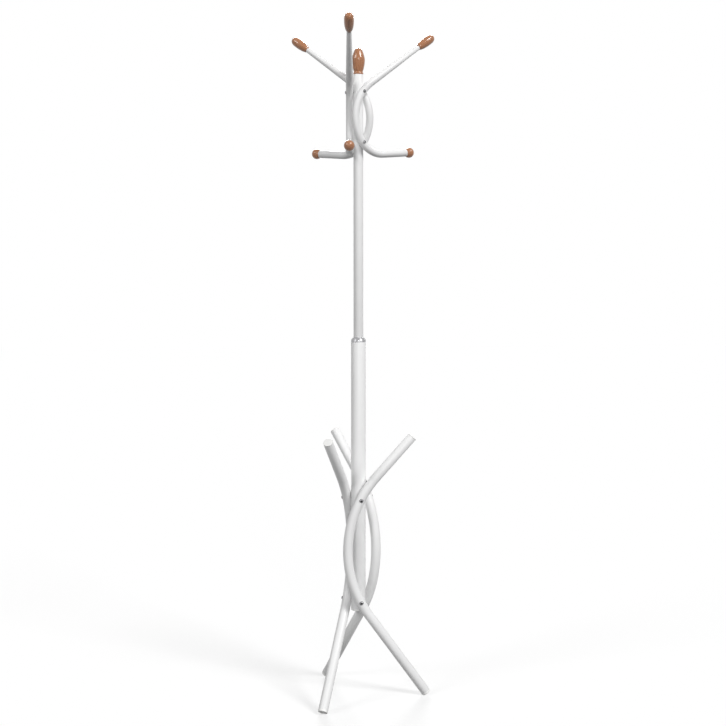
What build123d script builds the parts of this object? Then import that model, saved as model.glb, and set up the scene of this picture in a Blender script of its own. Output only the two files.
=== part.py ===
from build123d import *
import os
from math import asin, cos, degrees, radians, sin, sqrt, tan

# Standing coat rack, millimetres, +Z up, origin on the mast axis at floor level.
# Leg 1 flares towards +X and lies on the -Y side of the mast.

# Clearances
running_clearance = 0.3     # between the turning upper mast and its collar and socket
fit_clearance = 0.1         # between pieces that are pressed, screwed or bolted together
saddle_gap = 0.2            # between a bowed tube and the mast that it lies against

# Lower mast, a round tube that carries the legs
mast_dia = 38.0
mast_wall = 1.5
mast_top_z = 930.0
mast_tail = 24.0            # tube left below the lower leg bolts
mast_plug_head = 4.0
plug_nut_gap = 4.0          # from the bottom plug's spigot to the lower rivet nuts

# Upper mast, a thinner tube that stands in the lower one and carries the hooks
pole_dia = 25.0
pole_wall = 1.2
pole_head = 45.0            # tube left above the upper hook bolts
pole_engagement = 85.0      # how deep the upper mast goes into the lower one
pole_plug_head = 3.0
pole_plug_depth = 18.0
head_turn = 20.0            # degrees from a leg's direction to a hook's direction

# Reducing collar on top of the lower mast, and the socket lower down inside it
collar_band = 7.0
collar_cone = 6.0
collar_lip = 0.8
collar_spigot = 28.0
collar_edge = 1.2
socket_floor = 8.0
socket_depth = 32.0

# Legs, three bowed tubes bolted to the lower mast at two heights
leg_count = 3
leg_dia = 25.0
leg_wall = 1.2
leg_bolt_low_z = 255.0
leg_bolt_spacing = 268.0
leg_bow = 33.3              # how far the bow passes the bolts on the far side of the mast
leg_top_tilt = 42.5         # degrees from vertical
leg_foot_tilt = 35.7        # degrees from vertical
leg_top_z = 683.0           # centre of the tube's upper end
leg_cap_head = 3.0
foot_cap_head = 6.0
foot_flat = 1.6             # height ground off the foot cap where it meets the floor
cap_depth = 20.0
cap_wall = 2.0
cap_edge = 0.9

# Hooks, three double hooks bent from one tube each, with a tapered upper arm
hook_count = 3
hook_dia = 19.0
hook_wall = 1.2
hook_tip_dia = 12.0
hook_bolt_low_z = 1439.5
hook_bolt_spacing = 127.5
hook_bow = 20.9
arm_rise = 35.0             # degrees above horizontal
arm_reach = 167.0           # from the bolts to the arm's tip
crook_radius = 66.5
crook_rise = 5.0            # degrees above horizontal
ball_reach = 138.5          # from the bolts to the ball's centre

# Turned wooden tips
ball_dia = 26.5
knob_length = 55.0
knob_base_dia = 14.0
knob_dia = 24.0
knob_belly = 35.5           # height of the widest place
knob_flare = 26.5           # degrees from the axis, at the base
finial_length = 66.5
finial_base_dia = 25.6
finial_base_height = 5.0
finial_neck_dia = 22.6
finial_neck_height = 7.0
finial_dia = 33.8
finial_belly = 36.0
finial_shoulder_dia = 25.0
finial_shoulder = 54.0
finial_flare = 18.0         # degrees from the axis, above the neck

# Studs and threaded inserts that hold the wooden tips
stud_dia = 5.0
stud_in_wood = 14.0
stud_in_insert = 12.0
insert_length = 16.0
hole_spare = 1.5            # blind hole left beyond a stud's end

# Button-head bolts and the rivet nuts in the mast tubes
leg_bolt_dia = 6.0
leg_bolt_head_dia = 10.5
leg_bolt_head = 3.3
leg_bolt_socket = 4.0
leg_nut_dia = 9.0
leg_nut_bulb_dia = 12.0
leg_nut_bulb = 4.0
hook_bolt_dia = 5.0
hook_bolt_head_dia = 8.5
hook_bolt_head = 2.7
hook_bolt_socket = 3.0
hook_nut_dia = 7.0
hook_nut_bulb_dia = 9.5
hook_nut_bulb = 3.0
bolt_hole_clearance = 0.3
bolt_rim = 0.6              # straight edge under the domed head
socket_share = 0.55         # depth of the hexagon socket as a share of the head
nut_core_gap = 1.2          # room left between rivet nuts that meet at the mast axis
bolt_tip_inset = 1.0        # bolt end short of the nut's inner end

# Radii and heights that follow
mast_r = mast_dia / 2
mast_inner_r = mast_r - mast_wall
pole_r = pole_dia / 2
pole_inner_r = pole_r - pole_wall
leg_r = leg_dia / 2
hook_r = hook_dia / 2
hook_tip_r = hook_tip_dia / 2
bore_r = pole_r + running_clearance
mast_tube_bottom_z = leg_bolt_low_z - mast_tail
mast_plug_depth = mast_tail - leg_nut_bulb_dia / 2 - plug_nut_gap
leg_bolt_heights = (leg_bolt_low_z, leg_bolt_low_z + leg_bolt_spacing)
hook_bolt_heights = (hook_bolt_low_z, hook_bolt_low_z + hook_bolt_spacing)
pole_top_z = hook_bolt_heights[1] + pole_head
pole_foot_z = mast_top_z - pole_engagement
leg_offset = mast_r + saddle_gap + leg_r
hook_offset = pole_r + saddle_gap + hook_r

UP = (Align.CENTER, Align.CENTER, Align.MIN)
OUTWARD = (0, -1, 0)


# Shapes shared by several pieces

def rod(start, direction, radius, length):
    return Plane(origin=start, z_dir=direction) * Cylinder(radius, length, align=UP)


def round_tube(radius, wall, low_z, high_z):
    outside = rod((0, 0, low_z), (0, 0, 1), radius, high_z - low_z)
    inside = rod((0, 0, low_z), (0, 0, 1), radius - wall, high_z - low_z)
    return outside - inside


def turned(*outline):
    return revolve(make_face(outline), Axis.Z)


def tapered_rod(low_radius, high_radius, low_z, high_z):
    low_rim = (low_radius, 0, low_z)
    high_rim = (high_radius, 0, high_z)
    return turned(Polyline((0, 0, low_z), low_rim, high_rim, (0, 0, high_z), close=True))


def on_circle(centre, radius, angle):
    return (centre[0] + radius * cos(radians(angle)), centre[1] + radius * sin(radians(angle)))


def step(start, heading, length):
    return on_circle(start, length, heading)


def in_plane(point, offset):
    return Vector(point[0], -offset, point[1])


def heading_vector(heading):
    return Vector(cos(radians(heading)), 0, sin(radians(heading)))


def arc_edge(centre, radius, start_angle, end_angle, offset):
    angles = (start_angle, (start_angle + end_angle) / 2, end_angle)
    return ThreePointArc(*[in_plane(on_circle(centre, radius, angle), offset) for angle in angles])


def bow_circle(low_z, spacing, bow):
    """Centre and radius of the bow through two bolts on the mast line."""
    half = spacing / 2
    radius = (half**2 + bow**2) / (2 * bow)
    return (radius - bow, low_z + half), radius


def spread(shape, count, turn=0.0):
    return [Rot(0, 0, turn + 360.0 * index / count) * shape for index in range(count)]


def end_cap(tube_r, wall, head, depth):
    """Moulded plug: a rounded head on the tube's end and a hollow spigot inside it."""
    spigot_r = tube_r - wall - fit_clearance
    disc = Cylinder(tube_r, head, align=UP)
    disc = fillet(disc.edges().sort_by(Axis.Z)[-1], min(cap_edge, head / 2))
    spigot = rod((0, 0, 0), (0, 0, -1), spigot_r, depth)
    hollow = rod((0, 0, 0), (0, 0, -1), spigot_r - cap_wall, depth)
    return disc + (spigot - hollow)


def button_bolt(thread_dia, head_dia, head, socket, length):
    """Domed head above Z = 0 with a hexagon socket, and a shank below it."""
    rise = head - bolt_rim
    dome_r = ((head_dia / 2)**2 + rise**2) / (2 * rise)
    half_angle = asin(head_dia / 2 / dome_r) / 2
    crown = (dome_r * sin(half_angle), 0, head - dome_r * (1 - cos(half_angle)))
    outline = (
        Polyline((0, 0, head), (0, 0, 0), (head_dia / 2, 0, 0), (head_dia / 2, 0, bolt_rim)),
        ThreePointArc((head_dia / 2, 0, bolt_rim), crown, (0, 0, head)),
    )
    recess = extrude(RegularPolygon(socket / 2, 6, major_radius=False), head * socket_share)
    head_solid = turned(*outline) - Pos(0, 0, head * (1 - socket_share)) * recess
    return head_solid + rod((0, 0, 0), (0, 0, -1), thread_dia / 2, length)


def nut_core(nut_dia, count):
    """Distance from the mast axis at which the nuts of one height would meet, and some room."""
    return nut_dia / 2 / tan(radians(180.0 / count)) + nut_core_gap


def rivet_nut(nut_dia, bulb_dia, bulb, thread_dia, tube_r, wall, count):
    """Insert along -Y, flush with the tube outside and bulged behind its wall."""
    core = nut_core(nut_dia, count)
    body = rod((0, -core, 0), OUTWARD, nut_dia / 2, tube_r) & Cylinder(tube_r, tube_r)
    inner_r = tube_r - wall - fit_clearance
    bulb_start = sqrt(inner_r**2 - (bulb_dia / 2)**2) - bulb
    bulge = rod((0, -bulb_start, 0), OUTWARD, bulb_dia / 2, tube_r) & Cylinder(inner_r, tube_r)
    return body + bulge - rod((0, 0, 0), OUTWARD, thread_dia / 2 + fit_clearance, tube_r)


def drilled(solid, radius, heights, count, turn=0.0):
    """Drill one radial hole per height and direction through the near wall of a mast tube."""
    for height in heights:
        for drill in spread(rod((0, 0, height), OUTWARD, radius, mast_dia), count, turn):
            solid = solid - drill
    return solid


# Lower mast with its bottom plug, reducing collar and socket

def lower_mast_tube():
    tube = round_tube(mast_r, mast_wall, mast_tube_bottom_z, mast_top_z)
    return drilled(tube, leg_nut_dia / 2 + fit_clearance, leg_bolt_heights, leg_count)


def mast_bottom_plug():
    plug = end_cap(mast_r, mast_wall, mast_plug_head, mast_plug_depth)
    return Plane(origin=(0, 0, mast_tube_bottom_z), z_dir=(0, 0, -1)) * plug


def reducer_collar():
    spigot_r = mast_inner_r - fit_clearance
    band_top = mast_top_z + collar_band
    cone_top = band_top + collar_cone
    outline = Polyline(
        (bore_r, 0, mast_top_z - collar_spigot),
        (spigot_r, 0, mast_top_z - collar_spigot),
        (spigot_r, 0, mast_top_z),
        (mast_r, 0, mast_top_z),
        (mast_r, 0, band_top),
        (bore_r + collar_lip, 0, cone_top),
        (bore_r, 0, cone_top),
        close=True,
    )
    collar = turned(outline)
    shoulder = collar.edges().filter_by(GeomType.CIRCLE).group_by(SortBy.RADIUS)[-1].sort_by(Axis.Z)[-1]
    return fillet(shoulder, collar_edge)


def mast_socket():
    bottom_z = pole_foot_z - running_clearance - socket_floor
    cup = rod((0, 0, bottom_z), (0, 0, 1), mast_inner_r - fit_clearance, socket_floor + socket_depth)
    return cup - rod((0, 0, bottom_z + socket_floor), (0, 0, 1), bore_r, socket_depth)


# Upper mast with its foot plug and finial

def upper_mast_tube():
    tube = round_tube(pole_r, pole_wall, pole_foot_z + pole_plug_head, pole_top_z)
    return drilled(tube, hook_nut_dia / 2 + fit_clearance, hook_bolt_heights, hook_count, head_turn)


def upper_mast_foot_plug():
    plug = end_cap(pole_r, pole_wall, pole_plug_head, pole_plug_depth)
    return Plane(origin=(0, 0, pole_foot_z + pole_plug_head), z_dir=(0, 0, -1)) * plug


def thread_insert(radius, deep_radius):
    """Threaded plug inside a tube's end, its top face at Z = 0."""
    plug = tapered_rod(deep_radius, radius, -insert_length, 0)
    return plug - rod((0, 0, 0), (0, 0, -1), stud_dia / 2 + fit_clearance, insert_length)


def tip_stud():
    return rod((0, 0, -stud_in_insert), (0, 0, 1), stud_dia / 2, stud_in_insert + stud_in_wood)


def stud_hole():
    return rod((0, 0, 0), (0, 0, 1), stud_dia / 2 + fit_clearance, stud_in_wood + hole_spare)


def finial():
    base_r = finial_base_dia / 2
    neck_r = finial_neck_dia / 2
    base_top = (base_r, 0, finial_base_height)
    neck_top = (neck_r, 0, finial_neck_height)
    crown = (0, 0, finial_length)
    belly = (finial_dia / 2, 0, finial_belly)
    shoulder = (finial_shoulder_dia / 2, 0, finial_shoulder)
    rim = Polyline(crown, (0, 0, 0), (base_r, 0, 0), base_top, neck_top)
    cup = Spline(neck_top, belly, tangents=(heading_vector(90.0 - finial_flare), (0, 0, 1)))
    dome = Spline(belly, shoulder, crown, tangents=((0, 0, 1), (-1, 0, 0)))
    return turned(rim, cup, dome) - stud_hole()


def at_pole_top(shape):
    return Pos(0, 0, pole_top_z) * shape


# Legs, their caps, bolts and nuts

leg_centre, leg_radius = bow_circle(leg_bolt_low_z, leg_bolt_spacing, leg_bow)
leg_top_heading = 90.0 - leg_top_tilt
leg_foot_heading = leg_foot_tilt - 90.0
leg_arc_top = on_circle(leg_centre, leg_radius, 180.0 - leg_top_tilt)
leg_arc_foot = on_circle(leg_centre, leg_radius, 180.0 + leg_foot_tilt)
foot_face_z = leg_r * sin(radians(leg_foot_tilt)) - foot_flat
foot_end_z = foot_face_z + foot_cap_head * cos(radians(leg_foot_tilt))
leg_top_run = (leg_top_z - leg_arc_top[1]) / cos(radians(leg_top_tilt))
leg_foot_run = (leg_arc_foot[1] - foot_end_z) / cos(radians(leg_foot_tilt))
leg_top_end = step(leg_arc_top, leg_top_heading, leg_top_run)
leg_foot_end = step(leg_arc_foot, leg_foot_heading, leg_foot_run)


def bolt_holes(offset, heights, thread_dia):
    """Holes through both walls of a bowed tube, for the bolts to the mast."""
    reach = 2 * offset
    return [rod((0, 0, height), OUTWARD, thread_dia / 2 + bolt_hole_clearance, reach) for height in heights]


def leg_tube():
    path = Wire([
        Line(in_plane(leg_top_end, leg_offset), in_plane(leg_arc_top, leg_offset)),
        arc_edge(leg_centre, leg_radius, 180.0 - leg_top_tilt, 180.0 + leg_foot_tilt, leg_offset),
        Line(in_plane(leg_arc_foot, leg_offset), in_plane(leg_foot_end, leg_offset)),
    ])
    end = Plane(origin=in_plane(leg_top_end, leg_offset), z_dir=-heading_vector(leg_top_heading))
    tube = sweep(end * (Circle(leg_r) - Circle(leg_r - leg_wall)), path)
    for hole in bolt_holes(leg_offset, leg_bolt_heights, leg_bolt_dia):
        tube = tube - hole
    return tube


def leg_top_cap():
    cap = end_cap(leg_r, leg_wall, leg_cap_head, cap_depth)
    return Plane(origin=in_plane(leg_top_end, leg_offset), z_dir=heading_vector(leg_top_heading)) * cap


def foot_cap():
    cap = end_cap(leg_r, leg_wall, foot_cap_head, cap_depth)
    seat = Plane(origin=in_plane(leg_foot_end, leg_offset), z_dir=heading_vector(leg_foot_heading))
    below_floor = Pos(leg_foot_end[0], -leg_offset, 0) * Box(
        4 * leg_dia, 4 * leg_dia, leg_dia, align=(Align.CENTER, Align.CENTER, Align.MAX)
    )
    return seat * cap - below_floor


def bolt_set(bolt, offset, radius, heights, count, turn=0.0):
    bolts = []
    for height in heights:
        seat = Plane(origin=(0, -(offset + radius), height), z_dir=OUTWARD)
        bolts += spread(seat * bolt, count, turn)
    return Compound(children=bolts)


def nut_set(nut, heights, count, turn=0.0):
    nuts = []
    for height in heights:
        nuts += spread(Pos(0, 0, height) * nut, count, turn)
    return Compound(children=nuts)


def leg_bolts():
    length = leg_offset + leg_r - nut_core(leg_nut_dia, leg_count) - bolt_tip_inset
    bolt = button_bolt(leg_bolt_dia, leg_bolt_head_dia, leg_bolt_head, leg_bolt_socket, length)
    return bolt_set(bolt, leg_offset, leg_r, leg_bolt_heights, leg_count)


def leg_rivet_nuts():
    sizes = (leg_nut_dia, leg_nut_bulb_dia, leg_nut_bulb, leg_bolt_dia)
    nut = rivet_nut(*sizes, mast_r, mast_wall, leg_count)
    return nut_set(nut, leg_bolt_heights, leg_count)


# Hooks, their wooden tips, bolts and nuts

hook_centre, hook_radius = bow_circle(hook_bolt_low_z, hook_bolt_spacing, hook_bow)
arm_angle = 90.0 + arm_rise
crook_angle = 180.0 + degrees(asin(hook_bolt_spacing / 2 / hook_radius))
arm_root = on_circle(hook_centre, hook_radius, arm_angle)
crook_start = on_circle(hook_centre, hook_radius, crook_angle)
crook_centre = on_circle(crook_start, -crook_radius, crook_angle)
crook_end = on_circle(crook_centre, crook_radius, 270.0 + crook_rise)
arm_length = (arm_reach - arm_root[0]) / cos(radians(arm_rise))
arm_tip = step(arm_root, arm_rise, arm_length)
ball_flat = sqrt((ball_dia / 2)**2 - hook_r**2)
crook_run = (ball_reach - crook_end[0]) / cos(radians(crook_rise)) - ball_flat
crook_tip = step(crook_end, crook_rise, crook_run)
arm_taper = (hook_r - hook_tip_r) / arm_length


def hook_skin(inset):
    """The hook's bent tube and tapered arm as one solid, its surface moved in by the inset."""
    path = Wire([
        arc_edge(hook_centre, hook_radius, arm_angle, crook_angle, hook_offset),
        arc_edge(crook_centre, crook_radius, crook_angle, 270.0 + crook_rise, hook_offset),
        Line(in_plane(crook_end, hook_offset), in_plane(crook_tip, hook_offset)),
    ])
    root = in_plane(arm_root, hook_offset)
    bent = sweep(Plane(origin=root, z_dir=-heading_vector(arm_rise)) * Circle(hook_r - inset), path)
    arm = tapered_rod(hook_r - inset, hook_tip_r - inset, 0, arm_length)
    return bent + Plane(origin=root, z_dir=heading_vector(arm_rise)) * arm


def hook_tube():
    tube = hook_skin(0.0) - hook_skin(hook_wall)
    for hole in bolt_holes(hook_offset, hook_bolt_heights, hook_bolt_dia):
        tube = tube - hole
    return tube


def at_arm_tip(shape):
    return Plane(origin=in_plane(arm_tip, hook_offset), z_dir=heading_vector(arm_rise)) * shape


def at_crook_tip(shape):
    return Plane(origin=in_plane(crook_tip, hook_offset), z_dir=heading_vector(crook_rise)) * shape


def hook_knob():
    crown = (0, 0, knob_length)
    base = (knob_base_dia / 2, 0, 0)
    belly = (knob_dia / 2, 0, knob_belly)
    flank = Spline(base, belly, tangents=(heading_vector(90.0 - knob_flare), (0, 0, 1)))
    dome = Spline(belly, crown, tangents=((0, 0, 1), (-1, 0, 0)))
    return turned(Polyline(crown, (0, 0, 0), base), flank, dome) - stud_hole()


def hook_ball():
    crown = (0, 0, ball_flat + ball_dia / 2)
    rim = (hook_r, 0, 0)
    side = ThreePointArc(rim, (ball_dia / 2, 0, ball_flat), crown)
    return turned(Polyline(crown, (0, 0, 0), rim), side) - stud_hole()


def hook_bolts():
    length = hook_offset + hook_r - nut_core(hook_nut_dia, hook_count) - bolt_tip_inset
    bolt = button_bolt(hook_bolt_dia, hook_bolt_head_dia, hook_bolt_head, hook_bolt_socket, length)
    return bolt_set(bolt, hook_offset, hook_r, hook_bolt_heights, hook_count, head_turn)


def hook_rivet_nuts():
    sizes = (hook_nut_dia, hook_nut_bulb_dia, hook_nut_bulb, hook_bolt_dia)
    nut = rivet_nut(*sizes, pole_r, pole_wall, hook_count)
    return nut_set(nut, hook_bolt_heights, hook_count, head_turn)


# Assembly, one node per piece or per set of like fasteners

crook_insert = thread_insert(hook_r - hook_wall - fit_clearance, hook_r - hook_wall - fit_clearance)
arm_insert_r = hook_tip_r - hook_wall - fit_clearance
arm_insert = thread_insert(arm_insert_r, arm_insert_r + arm_taper * insert_length)
pole_insert_r = pole_inner_r - fit_clearance

nodes = {
    "lower_mast_tube": lower_mast_tube(),
    "mast_bottom_plug": mast_bottom_plug(),
    "reducer_collar": reducer_collar(),
    "mast_socket": mast_socket(),
    "upper_mast_tube": upper_mast_tube(),
    "upper_mast_foot_plug": upper_mast_foot_plug(),
    "finial_insert": at_pole_top(thread_insert(pole_insert_r, pole_insert_r)),
    "finial_stud": at_pole_top(tip_stud()),
    "finial": at_pole_top(finial()),
    "leg_bolts": leg_bolts(),
    "leg_rivet_nuts": leg_rivet_nuts(),
    "hook_bolts": hook_bolts(),
    "hook_rivet_nuts": hook_rivet_nuts(),
    "knob_inserts": Compound(children=spread(at_arm_tip(arm_insert), hook_count, head_turn)),
    "knob_studs": Compound(children=spread(at_arm_tip(tip_stud()), hook_count, head_turn)),
    "ball_inserts": Compound(children=spread(at_crook_tip(crook_insert), hook_count, head_turn)),
    "ball_studs": Compound(children=spread(at_crook_tip(tip_stud()), hook_count, head_turn)),
}

leg_pieces = {"leg_tube": leg_tube(), "leg_top_cap": leg_top_cap(), "foot_cap": foot_cap()}
for name, piece in leg_pieces.items():
    for number, copy in enumerate(spread(piece, leg_count), start=1):
        nodes[f"{name}_{number}"] = copy

hook_pieces = {
    "hook_tube": hook_tube(),
    "hook_knob": at_arm_tip(hook_knob()),
    "hook_ball": at_crook_tip(hook_ball()),
}
for name, piece in hook_pieces.items():
    for number, copy in enumerate(spread(piece, hook_count, head_turn), start=1):
        nodes[f"{name}_{number}"] = copy

os.makedirs("parts", exist_ok=True)
for name, shape in nodes.items():
    export_step(shape, f"parts/{name}.step")
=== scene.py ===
from math import asin, cos, pi, radians, sin, sqrt

import bmesh
import bpy
from mathutils import Matrix, Vector
from mathutils.geometry import interpolate_bezier


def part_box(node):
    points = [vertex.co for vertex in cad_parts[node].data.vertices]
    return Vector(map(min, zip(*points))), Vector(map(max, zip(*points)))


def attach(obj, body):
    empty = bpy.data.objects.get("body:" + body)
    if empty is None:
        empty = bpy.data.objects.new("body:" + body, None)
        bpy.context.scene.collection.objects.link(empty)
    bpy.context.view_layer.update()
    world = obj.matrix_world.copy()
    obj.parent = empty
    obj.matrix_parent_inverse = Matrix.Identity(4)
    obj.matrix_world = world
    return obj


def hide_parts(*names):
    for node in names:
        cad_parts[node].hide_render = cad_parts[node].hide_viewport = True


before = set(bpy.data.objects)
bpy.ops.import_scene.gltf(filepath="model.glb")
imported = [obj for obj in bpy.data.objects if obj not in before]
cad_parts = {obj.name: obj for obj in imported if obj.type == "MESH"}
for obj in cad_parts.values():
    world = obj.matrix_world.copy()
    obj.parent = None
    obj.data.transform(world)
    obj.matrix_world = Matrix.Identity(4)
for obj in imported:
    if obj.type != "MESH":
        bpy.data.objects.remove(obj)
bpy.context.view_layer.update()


# Lower mast
# A 38 mm steel tube with a 1.5 mm wall, cut square and powder coated in white.
# It carries the three legs and takes the foot of the upper mast in its top end.

mm = 0.001
mast_radius = 19.0 * mm
mast_wall = 1.5 * mm
mast_low, mast_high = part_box("lower_mast_tube")
rim_rounding = 0.3 * mm
rim_angle = radians(60)
crease_angle = radians(35)
round_segments = 64
up = Vector((0, 0, 1))
noise_low = 0.3
noise_high = 0.7
powder_shades = ((0.794, 0.794, 0.794, 1), (0.814, 0.814, 0.814, 1))


def start_finish(name):
    """A new material, its node tree, its shader and its Object coordinates."""
    finish = bpy.data.materials.new(name)
    finish.use_nodes = True
    tree = finish.node_tree
    place = tree.nodes.new("ShaderNodeTexCoord").outputs["Object"]
    return finish, tree, tree.nodes["Principled BSDF"], place


def mottle(tree, place, scale, detail=2.0):
    """Noise with cells of about 1 / scale metres."""
    node = tree.nodes.new("ShaderNodeTexNoise")
    node.inputs["Scale"].default_value = scale
    node.inputs["Detail"].default_value = detail
    tree.links.new(place, node.inputs["Vector"])
    return node.outputs["Fac"]


def colour_between(tree, value, *stops):
    """Colours blended along a value, given as (position, colour) pairs."""
    node = tree.nodes.new("ShaderNodeValToRGB")
    marks = node.color_ramp.elements
    while len(marks) < len(stops):
        marks.new(1.0)
    for mark, (position, colour) in zip(marks, stops):
        mark.position = position
        mark.color = colour
    tree.links.new(value, node.inputs["Fac"])
    return node.outputs["Color"]


def value_between(tree, value, low, high):
    """A noise value stretched to run from low to high."""
    node = tree.nodes.new("ShaderNodeMapRange")
    node.inputs["From Min"].default_value = noise_low
    node.inputs["From Max"].default_value = noise_high
    node.inputs["To Min"].default_value = low
    node.inputs["To Max"].default_value = high
    tree.links.new(value, node.inputs["Value"])
    return node.outputs["Result"]


def two_shades(tree, shader, value, shades):
    """Base colour that drifts between a darker and a paler shade with a noise value."""
    dark, pale = shades
    colour = colour_between(tree, value, (noise_low, dark), (noise_high, pale))
    tree.links.new(colour, shader.inputs["Base Color"])


def uneven_sheen(tree, shader, value, low, high):
    """Roughness that drifts from low to high with a noise value."""
    tree.links.new(value_between(tree, value, low, high), shader.inputs["Roughness"])


def raise_surface(tree, shader, height, depth, strength):
    """Bump of that depth in metres from a height value."""
    node = tree.nodes.new("ShaderNodeBump")
    node.inputs["Distance"].default_value = depth
    node.inputs["Strength"].default_value = strength
    tree.links.new(height, node.inputs["Height"])
    tree.links.new(node.outputs["Normal"], shader.inputs["Normal"])


def white_powder_coat():
    """Baked polyester powder: white with a fine orange peel and a slightly uneven sheen."""
    finish, tree, shader, place = start_finish("white_powder_coat")
    cloud = mottle(tree, place, scale=25.0)
    peel = mottle(tree, place, scale=600.0, detail=1.0)
    two_shades(tree, shader, cloud, powder_shades)
    uneven_sheen(tree, shader, cloud, low=0.36, high=0.42)
    shader.inputs["Specular IOR Level"].default_value = 0.3
    raise_surface(tree, shader, peel, depth=0.03 * mm, strength=0.25)
    return finish


def new_verts(result):
    """Vertices that an operator made."""
    return [item for item in result["geom"] if isinstance(item, bmesh.types.BMVert)]


def new_edges(result, key="geom"):
    """Edges that an operator made."""
    return [item for item in result[key] if isinstance(item, bmesh.types.BMEdge)]


def tube_ring(bm, radius, centre, along):
    """Edges of a tube's open end, square to its direction."""
    turn = up.rotation_difference(along).to_matrix().to_4x4()
    place = Matrix.Translation(centre) @ turn
    ring = bmesh.ops.create_circle(bm, radius=radius, segments=round_segments, matrix=place)
    return list({edge for vert in ring["verts"] for edge in vert.link_edges})


def run_straight(bm, ring, step):
    """Carry the tube's open end straight on."""
    grown = bmesh.ops.extrude_edge_only(bm, edges=ring)
    bmesh.ops.translate(bm, verts=new_verts(grown), vec=step)
    moved = set(new_verts(grown))
    return [edge for edge in new_edges(grown) if set(edge.verts) <= moved]


def round_edges(bm, edges, width, segments):
    """Round edges over a width in metres."""
    bmesh.ops.bevel(
        bm, geom=edges, offset=width, offset_type="OFFSET", segments=segments,
        profile=0.5, affect="EDGES", material=-1,
    )


def give_wall(bm, wall):
    """Turn a tube's outer skin into a wall with rounded rims."""
    bmesh.ops.recalc_face_normals(bm, faces=bm.faces)
    bmesh.ops.solidify(bm, geom=bm.faces[:], thickness=wall)
    rims = [edge for edge in bm.edges if edge.calc_face_angle(0.0) > rim_angle]
    round_edges(bm, rims, rim_rounding, segments=2)


def piece(name, bm, finish, body, node):
    """Make a finished mesh the visible piece for its CAD node, on the node's body."""
    mesh = bpy.data.meshes.new(name)
    bm.to_mesh(mesh)
    bm.free()
    mesh.shade_smooth()
    mesh.set_sharp_from_angle(angle=crease_angle)
    mesh.materials.append(finish)
    shape = bpy.data.objects.new(name, mesh)
    bpy.context.scene.collection.objects.link(shape)
    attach(shape, body)
    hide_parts(node)


powder_coat = white_powder_coat()
lower_mast = bmesh.new()
mast_end = tube_ring(lower_mast, mast_radius, (0, 0, mast_low.z), up)
run_straight(lower_mast, mast_end, up * (mast_high.z - mast_low.z))
give_wall(lower_mast, mast_wall)
piece("lower_mast", lower_mast, powder_coat, "base", "lower_mast_tube")


# Mast bottom plug
# A white moulded plug pressed into the open lower end of the mast, between the legs.
# Its rounded head is flush with the tube, and a hollow spigot grips the tube inside.

plug_head = 4.0 * mm
plug_depth = 14.0 * mm
spigot_clearance = 0.1 * mm
spigot_wall = 2.0 * mm
cap_rounding = 0.9 * mm
seam_rounding = 0.25 * mm
moulding_shades = ((0.76, 0.76, 0.748, 1), (0.80, 0.80, 0.788, 1))


def white_moulding():
    """Injection-moulded white plastic with a fine spark-eroded texture."""
    finish, tree, shader, place = start_finish("white_moulding")
    cloud = mottle(tree, place, scale=60.0)
    texture = mottle(tree, place, scale=2200.0, detail=3.0)
    two_shades(tree, shader, cloud, moulding_shades)
    uneven_sheen(tree, shader, texture, low=0.38, high=0.5)
    raise_surface(tree, shader, texture, depth=0.03 * mm, strength=0.4)
    return finish


def end_plug(tube_radius, tube_wall, head, depth):
    """Moulded plug with its head above Z = 0 and its hollow spigot below."""
    bm = bmesh.new()
    bmesh.ops.create_circle(bm, cap_ends=True, radius=tube_radius, segments=round_segments)
    seat = bm.faces[:][0]
    top = bmesh.ops.extrude_face_region(bm, geom=[seat])
    bmesh.ops.translate(bm, verts=new_verts(top), vec=up * head)
    bmesh.ops.recalc_face_normals(bm, faces=bm.faces)
    crown = [edge for edge in bm.edges if all(vert.co.z > head / 2 for vert in edge.verts)]
    round_edges(bm, crown, cap_rounding, segments=4)
    seam = [edge for edge in bm.edges if all(vert.co.z < seam_rounding for vert in edge.verts)]
    round_edges(bm, seam, seam_rounding, segments=2)
    seat = min(bm.faces, key=lambda face: face.calc_center_median().z)
    shoulder = tube_wall + spigot_clearance - seam_rounding
    for rim, step in ((shoulder, -depth), (spigot_wall, depth)):
        bmesh.ops.inset_region(bm, faces=[seat], thickness=rim)
        sunk = bmesh.ops.extrude_face_region(bm, geom=[seat])
        bmesh.ops.translate(bm, verts=new_verts(sunk), vec=up * step)
        bmesh.ops.delete(bm, geom=[seat], context="FACES_ONLY")
        seat = [item for item in sunk["geom"] if isinstance(item, bmesh.types.BMFace)][0]
    bmesh.ops.recalc_face_normals(bm, faces=bm.faces)
    return bm


def set_in_place(bm, seat, along, turn=0.0):
    """Stand an upright piece on a seat, pointing along a direction, then swing it round the mast."""
    lean = up.rotation_difference(along).to_matrix().to_4x4()
    swing = Matrix.Rotation(turn, 4, "Z")
    bmesh.ops.transform(bm, matrix=swing @ Matrix.Translation(seat) @ lean, verts=bm.verts)


moulding = white_moulding()
bottom_plug = end_plug(mast_radius, mast_wall, plug_head, plug_depth)
set_in_place(bottom_plug, (0, 0, mast_low.z), -up)
piece("bottom_plug", bottom_plug, moulding, "base", "mast_bottom_plug")


# Legs
# Three 25 mm steel tubes, each bent to one bow between a straight upper arm and a straight foot.
# They are powder coated like the mast, cross it and each other, and lie against its side.

third_turn = 2 * pi / 3
leg_turns = {1: 0.0, 2: third_turn, 3: 2 * third_turn}
leg_radius = 12.5 * mm
leg_wall = 1.2 * mm
saddle_gap = 0.2 * mm
leg_offset = mast_radius + saddle_gap + leg_radius
leg_bolt_heights = (255.0 * mm, 523.0 * mm)
leg_bow = 33.3 * mm
leg_bow_steps = 44
leg_top_tilt = radians(42.5)
leg_foot_tilt = radians(35.7)
leg_top_height = 683.0 * mm
foot_head = 6.0 * mm
foot_flat = 1.6 * mm
outward = Vector((0, -1, 0))


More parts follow.
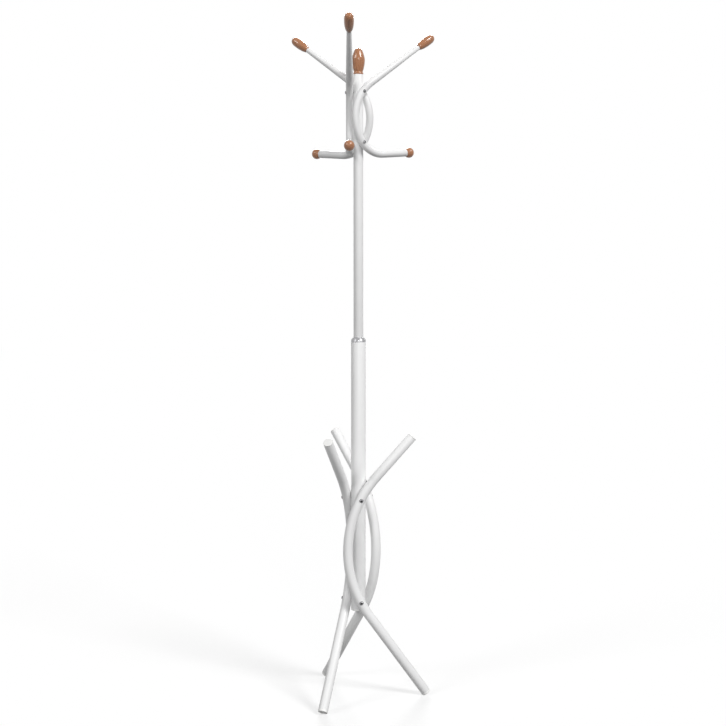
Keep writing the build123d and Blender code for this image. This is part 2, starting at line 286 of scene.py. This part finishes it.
def bow_past_bolts(bolt_heights, bow, offset):
    """Centre and radius of a bow that crosses the mast's middle at both bolts."""
    low, high = bolt_heights
    radius = ((high - low) ** 2 / 4 + bow ** 2) / (2 * bow)
    return Vector((radius - bow, -offset, (low + high) / 2)), radius


def on_bow(centre, radius, angle):
    """Point on a bow at an angle that is counted up from level."""
    return centre + radius * Vector((cos(angle), 0, sin(angle)))


def run_bend(bm, ring, centre, angle, steps):
    """Carry the tube's open end round a bend in the leg's or hook's own plane."""
    bend = bmesh.ops.spin(bm, geom=ring, cent=centre, axis=outward, angle=angle, steps=steps)
    return new_edges(bend, "geom_last")


def swing_round(bm, turn):
    """Swing a piece round the mast to its own third."""
    bmesh.ops.rotate(bm, cent=(0, 0, 0), matrix=Matrix.Rotation(turn, 3, "Z"), verts=bm.verts)


leg_centre, leg_bow_radius = bow_past_bolts(leg_bolt_heights, leg_bow, leg_offset)
leg_bow_top = on_bow(leg_centre, leg_bow_radius, pi - leg_top_tilt)
leg_bow_foot = on_bow(leg_centre, leg_bow_radius, pi + leg_foot_tilt)
leg_top_along = Vector((sin(leg_top_tilt), 0, cos(leg_top_tilt)))
leg_foot_along = Vector((sin(leg_foot_tilt), 0, -cos(leg_foot_tilt)))
leg_foot_height = leg_radius * sin(leg_foot_tilt) + foot_head * cos(leg_foot_tilt) - foot_flat
leg_top_end = leg_bow_top + leg_top_along * ((leg_top_height - leg_bow_top.z) / leg_top_along.z)
leg_foot_end = leg_bow_foot + leg_foot_along * ((leg_foot_height - leg_bow_foot.z) / leg_foot_along.z)

for number, turn in leg_turns.items():
    leg = bmesh.new()
    ring = tube_ring(leg, leg_radius, leg_top_end, leg_top_along)
    ring = run_straight(leg, ring, leg_bow_top - leg_top_end)
    ring = run_bend(leg, ring, leg_centre, leg_top_tilt + leg_foot_tilt, leg_bow_steps)
    run_straight(leg, ring, leg_foot_end - leg_bow_foot)
    give_wall(leg, leg_wall)
    swing_round(leg, turn)
    piece(f"leg_{number}", leg, powder_coat, "base", f"leg_tube_{number}")


# Leg caps and foot caps
# White moulded plugs pressed into both ends of each leg. The upper ones are thin discs.
# The lower ones are thicker, with a flat moulded on the edge that stands on the floor.

cap_head = 3.0 * mm
cap_depth = 20.0 * mm

for number, turn in leg_turns.items():
    top_cap = end_plug(leg_radius, leg_wall, cap_head, cap_depth)
    set_in_place(top_cap, leg_top_end, leg_top_along, turn)
    piece(f"leg_cap_{number}", top_cap, moulding, "base", f"leg_top_cap_{number}")

    foot = end_plug(leg_radius, leg_wall, foot_head, cap_depth)
    set_in_place(foot, leg_foot_end, leg_foot_along, turn)
    bmesh.ops.bisect_plane(
        foot, geom=foot.verts[:] + foot.edges[:] + foot.faces[:],
        plane_co=(0, 0, 0), plane_no=up, clear_inner=True,
    )
    cut = [edge for edge in foot.edges if edge.is_boundary]
    bmesh.ops.holes_fill(foot, edges=cut)
    piece(f"foot_{number}", foot, moulding, "base", f"foot_cap_{number}")


# Leg bolts
# Button-head M6 screws in dark zinc with a hexagon socket, two through each leg.
# They pass through both walls of the leg into rivet nuts in the mast.

# Thread and head are radii, and socket is the width across flats.
leg_bolt = {
    "thread": 3.0 * mm, "head": 5.25 * mm, "height": 3.3 * mm, "socket": 4.0 * mm, "length": 40.4 * mm,
}
head_rim = 0.6 * mm
socket_share = 0.55
land_share = 1.12
dome_steps = 8
bolt_segments = 48
hexagon_sides = 6
weld_gap = 0.001 * mm
dark_zinc_shades = ((0.13, 0.13, 0.135, 1), (0.22, 0.22, 0.225, 1))


def dark_zinc():
    """Blackened zinc on steel: dark grey, a little cloudy, polished on the high spots."""
    finish, tree, shader, place = start_finish("dark_zinc")
    cloud = mottle(tree, place, scale=900.0, detail=4.0)
    two_shades(tree, shader, cloud, dark_zinc_shades)
    uneven_sheen(tree, shader, cloud, low=0.16, high=0.3)
    shader.inputs["Metallic"].default_value = 1.0
    raise_surface(tree, shader, cloud, depth=0.02 * mm, strength=0.3)
    return finish


def add_button_bolt(bm, bolt, seat, turn):
    """Add one screw: a domed head over its seat, a hexagon socket in it and the shank below."""
    screw = bmesh.new()
    dome = bolt["height"] - head_rim
    dome_radius = (bolt["head"] ** 2 + dome ** 2) / (2 * dome)
    socket_corner = bolt["socket"] / 2 / cos(pi / hexagon_sides)
    dome_start = asin(bolt["head"] / dome_radius)
    dome_end = asin(socket_corner * land_share / dome_radius)
    crown_centre = Vector((0, 0, bolt["height"] - dome_radius))
    rim = screw.verts.new((bolt["head"], 0, head_rim))
    foot = screw.verts.new((bolt["head"], 0, 0))
    neck = screw.verts.new((bolt["thread"], 0, 0))
    tip = screw.verts.new((bolt["thread"], 0, -bolt["length"]))
    end = screw.verts.new((0, 0, -bolt["length"]))
    for pair in ((rim, foot), (foot, neck), (neck, tip), (tip, end)):
        screw.edges.new(pair)
    bmesh.ops.spin(
        screw, geom=[rim], cent=crown_centre, axis=outward, angle=dome_start - dome_end, steps=dome_steps,
    )
    bmesh.ops.spin(
        screw, geom=screw.verts[:] + screw.edges[:], cent=(0, 0, 0), axis=up,
        angle=2 * pi, steps=bolt_segments, use_merge=True,
    )
    bmesh.ops.remove_doubles(screw, verts=screw.verts, dist=weld_gap)
    land_loop = [edge for edge in screw.edges if edge.is_boundary]
    land_height = max(vert.co.z for vert in screw.verts)
    place = Matrix.Translation((0, 0, land_height))
    hexagon = bmesh.ops.create_circle(screw, radius=socket_corner, segments=hexagon_sides, matrix=place)
    sides = list({edge for vert in hexagon["verts"] for edge in vert.link_edges})
    bmesh.ops.subdivide_edges(screw, edges=sides, cuts=bolt_segments // hexagon_sides - 1)
    mouth = [edge for edge in screw.edges if not edge.link_faces]
    bmesh.ops.bridge_loops(screw, edges=land_loop + mouth)
    walls = run_straight(screw, mouth, -up * bolt["height"] * socket_share)
    bmesh.ops.contextual_create(screw, geom=walls)
    bmesh.ops.recalc_face_normals(screw, faces=screw.faces)
    set_in_place(screw, seat, outward, turn)
    held = bpy.data.meshes.new("screw")
    screw.to_mesh(held)
    screw.free()
    bm.from_mesh(held)
    bpy.data.meshes.remove(held)


bolt_zinc = dark_zinc()
leg_bolts = bmesh.new()
for height in leg_bolt_heights:
    seat = (0, -leg_offset - leg_radius, height)
    for turn in leg_turns.values():
        add_button_bolt(leg_bolts, leg_bolt, seat, turn)
piece("leg_bolt_set", leg_bolts, bolt_zinc, "base", "leg_bolts")


# Reducing collar
# A turned and polished ring with a short cone, pressed into the top of the lower mast.
# It closes the step to the upper mast, which turns in its bore.

collar_outline = (
    (12.8, -28.0), (17.4, -28.0), (17.4, 0.0), (18.7, 0.0), (19.0, 0.3), (19.0, 6.0),
    (18.7, 6.9), (18.0, 7.7), (14.0, 12.7), (13.6, 13.0), (13.1, 13.0), (12.8, 12.7),
)
lathe_stretch = (0.02, 0.02, 1.0)
collar_shades = ((0.33, 0.33, 0.34, 1), (0.44, 0.44, 0.45, 1))


def bright_turned_metal():
    """Polished metal with the fine rings that a lathe tool leaves round it."""
    finish, tree, shader, place = start_finish("bright_turned_metal")
    squeeze = tree.nodes.new("ShaderNodeMapping")
    squeeze.inputs["Scale"].default_value = lathe_stretch
    tree.links.new(place, squeeze.inputs["Vector"])
    rings = mottle(tree, squeeze.outputs["Vector"], scale=5200.0, detail=3.0)
    two_shades(tree, shader, rings, collar_shades)
    uneven_sheen(tree, shader, rings, low=0.32, high=0.42)
    shader.inputs["Metallic"].default_value = 1.0
    shader.inputs["Anisotropic"].default_value = 0.7
    shader.inputs["Anisotropic Rotation"].default_value = 0.25
    raise_surface(tree, shader, rings, depth=0.01 * mm, strength=0.3)
    return finish


def add_outline(bm, outline, closed=False):
    """Join (radius, height) points in millimetres by edges."""
    verts = [bm.verts.new((radius * mm, 0, height * mm)) for radius, height in outline]
    for pair in zip(verts, verts[1:]):
        bm.edges.new(pair)
    if closed:
        bm.edges.new((verts[-1], verts[0]))
    return verts


def turn_on_lathe(bm):
    """Spin an outline round Z to a closed turning."""
    bmesh.ops.spin(
        bm, geom=bm.verts[:] + bm.edges[:], cent=(0, 0, 0), axis=up, angle=2 * pi,
        steps=round_segments, use_merge=True,
    )
    bmesh.ops.remove_doubles(bm, verts=bm.verts, dist=weld_gap)
    bmesh.ops.recalc_face_normals(bm, faces=bm.faces)


collar = bmesh.new()
add_outline(collar, collar_outline, closed=True)
turn_on_lathe(collar)
set_in_place(collar, (0, 0, mast_high.z), up)
piece("collar", collar, bright_turned_metal(), "base", "reducer_collar")


# Upper mast
# A 25 mm steel tube in the same white powder coat. It stands in the socket inside the lower mast,
# turns in the collar and carries the hooks and the finial.

pole_radius = 12.5 * mm
pole_wall = 1.2 * mm
pole_low, pole_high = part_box("upper_mast_tube")

upper_mast = bmesh.new()
pole_end = tube_ring(upper_mast, pole_radius, (0, 0, pole_low.z), up)
run_straight(upper_mast, pole_end, up * (pole_high.z - pole_low.z))
give_wall(upper_mast, pole_wall)
piece("upper_mast", upper_mast, powder_coat, "head", "upper_mast_tube")


# Hooks
# Three double hooks, each bent from one 19 mm steel tube that bows past the mast like the legs.
# The upper arm rises and is swaged to a taper, and the lower end is a short, nearly level crook.

head_turn = radians(20.0)
hook_turns = {number: head_turn + turn for number, turn in leg_turns.items()}
hook_radius = 9.5 * mm
hook_tip_radius = 6.0 * mm
hook_wall = 1.2 * mm
hook_offset = pole_radius + saddle_gap + hook_radius
hook_bolt_heights = (1439.5 * mm, 1567.0 * mm)
hook_bow = 20.9 * mm
hook_bow_steps = 36
crook_radius = 66.5 * mm
crook_steps = 24
arm_rise = radians(35.0)
arm_reach = 167.0 * mm
crook_rise = radians(5.0)
ball_reach = 138.5 * mm
ball_radius = 13.25 * mm

hook_centre, hook_bow_radius = bow_past_bolts(hook_bolt_heights, hook_bow, hook_offset)
arm_angle = pi / 2 + arm_rise
crook_start_angle = pi + asin((hook_centre.z - hook_bolt_heights[0]) / hook_bow_radius)
crook_end_angle = 1.5 * pi + crook_rise
arm_along = Vector((cos(arm_rise), 0, sin(arm_rise)))
arm_root = on_bow(hook_centre, hook_bow_radius, arm_angle)
arm_tip = arm_root + arm_along * ((arm_reach - arm_root.x) / arm_along.x)
taper = hook_tip_radius / hook_radius
crook_along = Vector((cos(crook_rise), 0, sin(crook_rise)))
crook_start = on_bow(hook_centre, hook_bow_radius, crook_start_angle)
crook_centre = on_bow(crook_start, -crook_radius, crook_start_angle)
crook_end = on_bow(crook_centre, crook_radius, crook_end_angle)
ball_flat = sqrt(ball_radius ** 2 - hook_radius ** 2)
crook_tip = crook_end + crook_along * ((ball_reach - crook_end.x) / crook_along.x - ball_flat)

for number, turn in hook_turns.items():
    hook = bmesh.new()
    ring = tube_ring(hook, hook_radius, arm_root, arm_along)
    swaged = run_straight(hook, ring, arm_tip - arm_root)
    swaged_verts = list({vert for edge in swaged for vert in edge.verts})
    bmesh.ops.scale(hook, vec=(taper,) * 3, space=Matrix.Translation(-arm_tip), verts=swaged_verts)
    ring = run_bend(hook, ring, hook_centre, crook_start_angle - arm_angle, hook_bow_steps)
    ring = run_bend(hook, ring, crook_centre, crook_end_angle - crook_start_angle, crook_steps)
    run_straight(hook, ring, crook_tip - crook_end)
    give_wall(hook, hook_wall)
    swing_round(hook, turn)
    piece(f"hook_{number}", hook, powder_coat, "head", f"hook_tube_{number}")


# Hook bolts
# Smaller M5 button-head screws in the same dark zinc, two through each hook.
# They go into rivet nuts in the upper mast.

hook_bolt = {
    "thread": 2.5 * mm, "head": 4.25 * mm, "height": 2.7 * mm, "socket": 3.0 * mm, "length": 27.0 * mm,
}

hook_bolts = bmesh.new()
for height in hook_bolt_heights:
    seat = (0, -hook_offset - hook_radius, height)
    for turn in hook_turns.values():
        add_button_bolt(hook_bolts, hook_bolt, seat, turn)
piece("hook_bolt_set", hook_bolts, bolt_zinc, "head", "hook_bolts")


# Turned wooden tips
# Knobs on the rising arms, balls on the crooks and a finial on the mast top, turned from one reddish
# wood with the grain along the axis, sanded and finished in clear gloss lacquer. Studs hold them.

run_points = 13
ball_steps = 24
grain_start = Vector((26.0 * mm, 9.0 * mm, 40.0 * mm))
grain_spread = 0.37
grain_stretch = (1.0, 1.0, 0.08)
fibre_share = 0.62
wood_shades = (
    (0.2, (0.27, 0.100, 0.038, 1)), (0.5, (0.40, 0.168, 0.072, 1)), (0.85, (0.51, 0.225, 0.100, 1)),
)


def lacquered_wood():
    """Close-grained reddish wood: growth rings, fine fibres and short dark pores under gloss lacquer."""
    finish, tree, shader, _ = start_finish("lacquered_wood")
    grain = tree.nodes.new("ShaderNodeAttribute")
    grain.attribute_name = "along_grain"
    drawn_out = tree.nodes.new("ShaderNodeMapping")
    drawn_out.inputs["Scale"].default_value = grain_stretch
    tree.links.new(grain.outputs["Vector"], drawn_out.inputs["Vector"])
    rings = tree.nodes.new("ShaderNodeTexWave")
    rings.wave_type = "RINGS"
    rings.rings_direction = "Z"
    rings.inputs["Scale"].default_value = 95.0
    rings.inputs["Distortion"].default_value = 6.0
    rings.inputs["Detail"].default_value = 3.0
    rings.inputs["Detail Scale"].default_value = 1.6
    tree.links.new(drawn_out.outputs["Vector"], rings.inputs["Vector"])
    fibres = mottle(tree, drawn_out.outputs["Vector"], scale=1100.0, detail=4.0)
    pores = mottle(tree, drawn_out.outputs["Vector"], scale=3400.0, detail=0.0)
    mixed = tree.nodes.new("ShaderNodeMix")
    mixed.inputs["Factor"].default_value = fibre_share
    tree.links.new(rings.outputs["Fac"], mixed.inputs["A"])
    tree.links.new(fibres, mixed.inputs["B"])
    darkened = tree.nodes.new("ShaderNodeMath")
    darkened.operation = "SUBTRACT"
    tree.links.new(mixed.outputs["Result"], darkened.inputs[0])
    tree.links.new(value_between(tree, pores, low=-0.08, high=0.16), darkened.inputs[1])
    colour = colour_between(tree, darkened.outputs["Value"], *wood_shades)
    tree.links.new(colour, shader.inputs["Base Color"])
    uneven_sheen(tree, shader, fibres, low=0.4, high=0.55)
    shader.inputs["Specular IOR Level"].default_value = 0.1
    shader.inputs["Coat Weight"].default_value = 0.9
    shader.inputs["Coat Roughness"].default_value = 0.12
    raise_surface(tree, shader, fibres, depth=0.03 * mm, strength=0.15)
    return finish


def smooth_run(start, leave, arrive, end):
    """Points of an outline along a curve with those two handles, without its end."""
    points = interpolate_bezier(Vector(start), Vector(leave), Vector(arrive), Vector(end), run_points)
    return [tuple(point) for point in points[:-1]]


def wooden_tip(name, bm, seat, along, turn, node, sample):
    """Turn an outline in wood, mark its grain and set it on its seat, each sample from another spot."""
    turn_on_lathe(bm)
    grain = bm.verts.layers.float_vector.new("along_grain")
    for vert in bm.verts:
        vert[grain] = vert.co + grain_start * (1 + grain_spread * sample)
    set_in_place(bm, seat, along, turn)
    piece(name, bm, wood, "head", node)


knob_base = (7.0, 0.3)
knob_belly = (12.0, 31.0)
knob_crown = (0.0, 54.7)
knob_outline = [
    (0.0, 0.0), (6.7, 0.0),
    *smooth_run(knob_base, (11.8, 9.6), (12.0, 27.2), knob_belly),
    *smooth_run(knob_belly, (12.0, 41.6), (12.5, 54.7), knob_crown),
    knob_crown,
]
finial_neck = (11.2, 6.8)
finial_belly = (16.9, 36.5)
finial_shoulder = (10.4, 60.0)
finial_crown = (0.0, 66.8)
finial_outline = [
    (0.0, 0.0),
    *smooth_run((11.6, 0.0), (13.2, 0.2), (13.2, 4.9), (11.6, 5.1)),
    (11.6, 5.1), (11.2, 6.0),
    *smooth_run(finial_neck, (14.0, 14.1), (16.9, 25.7), finial_belly),
    *smooth_run(finial_belly, (16.9, 43.2), (12.2, 55.9), finial_shoulder),
    *smooth_run(finial_shoulder, (8.3, 64.9), (4.5, 66.8), finial_crown),
    finial_crown,
]
ball_angle = pi / 2 + asin(ball_flat / ball_radius)
hook_count = len(hook_turns)

wood = lacquered_wood()
for number, turn in hook_turns.items():
    knob = bmesh.new()
    add_outline(knob, knob_outline)
    wooden_tip(f"knob_{number}", knob, arm_tip, arm_along, turn, f"hook_knob_{number}", sample=number)

    ball = bmesh.new()
    _, rim = add_outline(ball, ((0.0, 0.0), (hook_radius / mm, 0.0)))
    bmesh.ops.spin(ball, geom=[rim], cent=up * ball_flat, axis=outward, angle=ball_angle, steps=ball_steps)
    wooden_tip(
        f"ball_{number}", ball, crook_tip, crook_along, turn, f"hook_ball_{number}",
        sample=hook_count + number,
    )

finial = bmesh.new()
add_outline(finial, finial_outline)
finial_seat = (0, 0, pole_high.z)
wooden_tip("mast_finial", finial, finial_seat, up, 0.0, "finial", sample=2 * hook_count + 1)


# Parts inside the tubes
# Nylon socket and foot plug that the upper mast turns on, and the zinc-plated steel rivet nuts,
# threaded inserts and studs that the bolts and wooden tips screw into.

nylon_shades = ((0.60, 0.58, 0.52, 1), (0.68, 0.66, 0.60, 1))
bright_zinc_shades = ((0.50, 0.51, 0.52, 1), (0.64, 0.65, 0.65, 1))


def pale_nylon():
    """Natural nylon: off-white, waxy and faintly cloudy."""
    finish, tree, shader, place = start_finish("pale_nylon")
    cloud = mottle(tree, place, scale=120.0, detail=3.0)
    two_shades(tree, shader, cloud, nylon_shades)
    uneven_sheen(tree, shader, cloud, low=0.4, high=0.55)
    raise_surface(tree, shader, cloud, depth=0.05 * mm, strength=0.2)
    return finish


def bright_zinc():
    """Zinc plate on steel: silvery with a faint crystalline mottle."""
    finish, tree, shader, place = start_finish("bright_zinc")
    spangle = mottle(tree, place, scale=700.0, detail=4.0)
    two_shades(tree, shader, spangle, bright_zinc_shades)
    uneven_sheen(tree, shader, spangle, low=0.3, high=0.48)
    shader.inputs["Metallic"].default_value = 1.0
    raise_surface(tree, shader, spangle, depth=0.02 * mm, strength=0.2)
    return finish


def finish_inside(finish, *names):
    """Give CAD nodes that keep their own shape a finish."""
    for name in names:
        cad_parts[name].material_slots[0].material = finish


plated = bright_zinc()
finish_inside(pale_nylon(), "mast_socket", "upper_mast_foot_plug")
finish_inside(plated, "leg_rivet_nuts", "hook_rivet_nuts", "finial_insert", "finial_stud")
finish_inside(plated, "knob_inserts", "knob_studs", "ball_inserts", "ball_studs")


# Studio
# A plain white floor that keeps the rack's shadow, soft distant lamps from the right, the left, the
# front and the back, and a camera above the middle of the rack, looking slightly down.

floor_size = 30.0
floor_glow = 0.61
floor_shown = (0.35, 0.35, 0.35, 1)
floor_bounce = (0.12, 0.12, 0.12, 1)
ambient_level = 0.235
lamp_width = radians(18.0)
camera_turn = radians(9.969)
camera_heading = radians(10.178)
camera_tilt = radians(4.165)
camera_distance = 3.262
camera_height = 1.1134
camera_lens = 62.67
camera_sensor = 36.0


def seen_directly(tree):
    """1 for camera, glossy and transmission rays, otherwise 0."""
    path = tree.nodes.new("ShaderNodeLightPath")
    total = path.outputs["Is Camera Ray"]
    for kind in ("Is Glossy Ray", "Is Transmission Ray"):
        add = tree.nodes.new("ShaderNodeMath")
        add.operation = "MAXIMUM"
        tree.links.new(total, add.inputs[0])
        tree.links.new(path.outputs[kind], add.inputs[1])
        total = add.outputs["Value"]
    return total


def white_floor():
    """White to the camera except in shadow, and grey to the light that it bounces."""
    paint = bpy.data.materials.new("white_floor")
    paint.use_nodes = True
    tree = paint.node_tree
    tree.nodes.remove(tree.nodes["Principled BSDF"])
    seen = seen_directly(tree)
    diffuse = tree.nodes.new("ShaderNodeBsdfDiffuse")
    colour = colour_between(tree, seen, (0.0, floor_bounce), (1.0, floor_shown))
    tree.links.new(colour, diffuse.inputs["Color"])
    glow = tree.nodes.new("ShaderNodeEmission")
    shown = tree.nodes.new("ShaderNodeMath")
    shown.operation = "MULTIPLY"
    shown.inputs[1].default_value = floor_glow
    tree.links.new(seen, shown.inputs[0])
    tree.links.new(shown.outputs["Value"], glow.inputs["Strength"])
    both = tree.nodes.new("ShaderNodeAddShader")
    tree.links.new(diffuse.outputs["BSDF"], both.inputs[0])
    tree.links.new(glow.outputs["Emission"], both.inputs[1])
    tree.links.new(both.outputs["Shader"], tree.nodes["Material Output"].inputs["Surface"])
    return paint


def soft_lamp(name, round_from_camera, rise, level):
    """A distant soft lamp, so many degrees to the camera's right and above the floor."""
    turn = radians(round_from_camera) - camera_turn
    lift = radians(rise)
    towards = Vector((sin(turn) * cos(lift), -cos(turn) * cos(lift), sin(lift)))
    lamp = bpy.data.lights.new(name, "SUN")
    lamp.angle = lamp_width
    lamp.energy = level * pi
    holder = bpy.data.objects.new(name, lamp)
    holder.rotation_euler = towards.to_track_quat("Z", "Y").to_euler()
    bpy.context.scene.collection.objects.link(holder)


floor_bm = bmesh.new()
bmesh.ops.create_grid(floor_bm, x_segments=1, y_segments=1, size=floor_size / 2)
floor_mesh = bpy.data.meshes.new("floor")
floor_bm.to_mesh(floor_mesh)
floor_bm.free()
floor_mesh.materials.append(white_floor())
floor = bpy.data.objects.new("floor", floor_mesh)
bpy.context.scene.collection.objects.link(floor)

soft_lamp("right_lamp", round_from_camera=48.0, rise=40.0, level=0.67)
soft_lamp("left_lamp", round_from_camera=-55.0, rise=30.0, level=0.25)
soft_lamp("front_lamp", round_from_camera=5.0, rise=15.0, level=0.26)
soft_lamp("back_lamp", round_from_camera=180.0, rise=20.0, level=0.75)

scene = bpy.context.scene
world = bpy.data.worlds.new("studio")
world.use_nodes = True
scene.world = world
sky = world.node_tree
ambient = sky.nodes["Background"]
ambient.inputs["Color"].default_value = (1, 1, 1, 1)
# The sky is white where it is seen, and lights the rack at the ambient level.
brightness = sky.nodes.new("ShaderNodeMapRange")
brightness.inputs["To Min"].default_value = ambient_level
sky.links.new(seen_directly(sky), brightness.inputs["Value"])
sky.links.new(brightness.outputs["Result"], ambient.inputs["Strength"])

camera = bpy.data.objects.new("camera", bpy.data.cameras.new("camera"))
camera_side = -camera_distance * sin(camera_turn)
camera_front = -camera_distance * cos(camera_turn)
camera.location = (camera_side, camera_front, camera_height)
camera.rotation_euler = (pi / 2 - camera_tilt, 0, -camera_heading)
camera.data.lens = camera_lens
camera.data.sensor_width = camera_sensor
scene.collection.objects.link(camera)
scene.camera = camera
scene.view_settings.view_transform = "Standard"
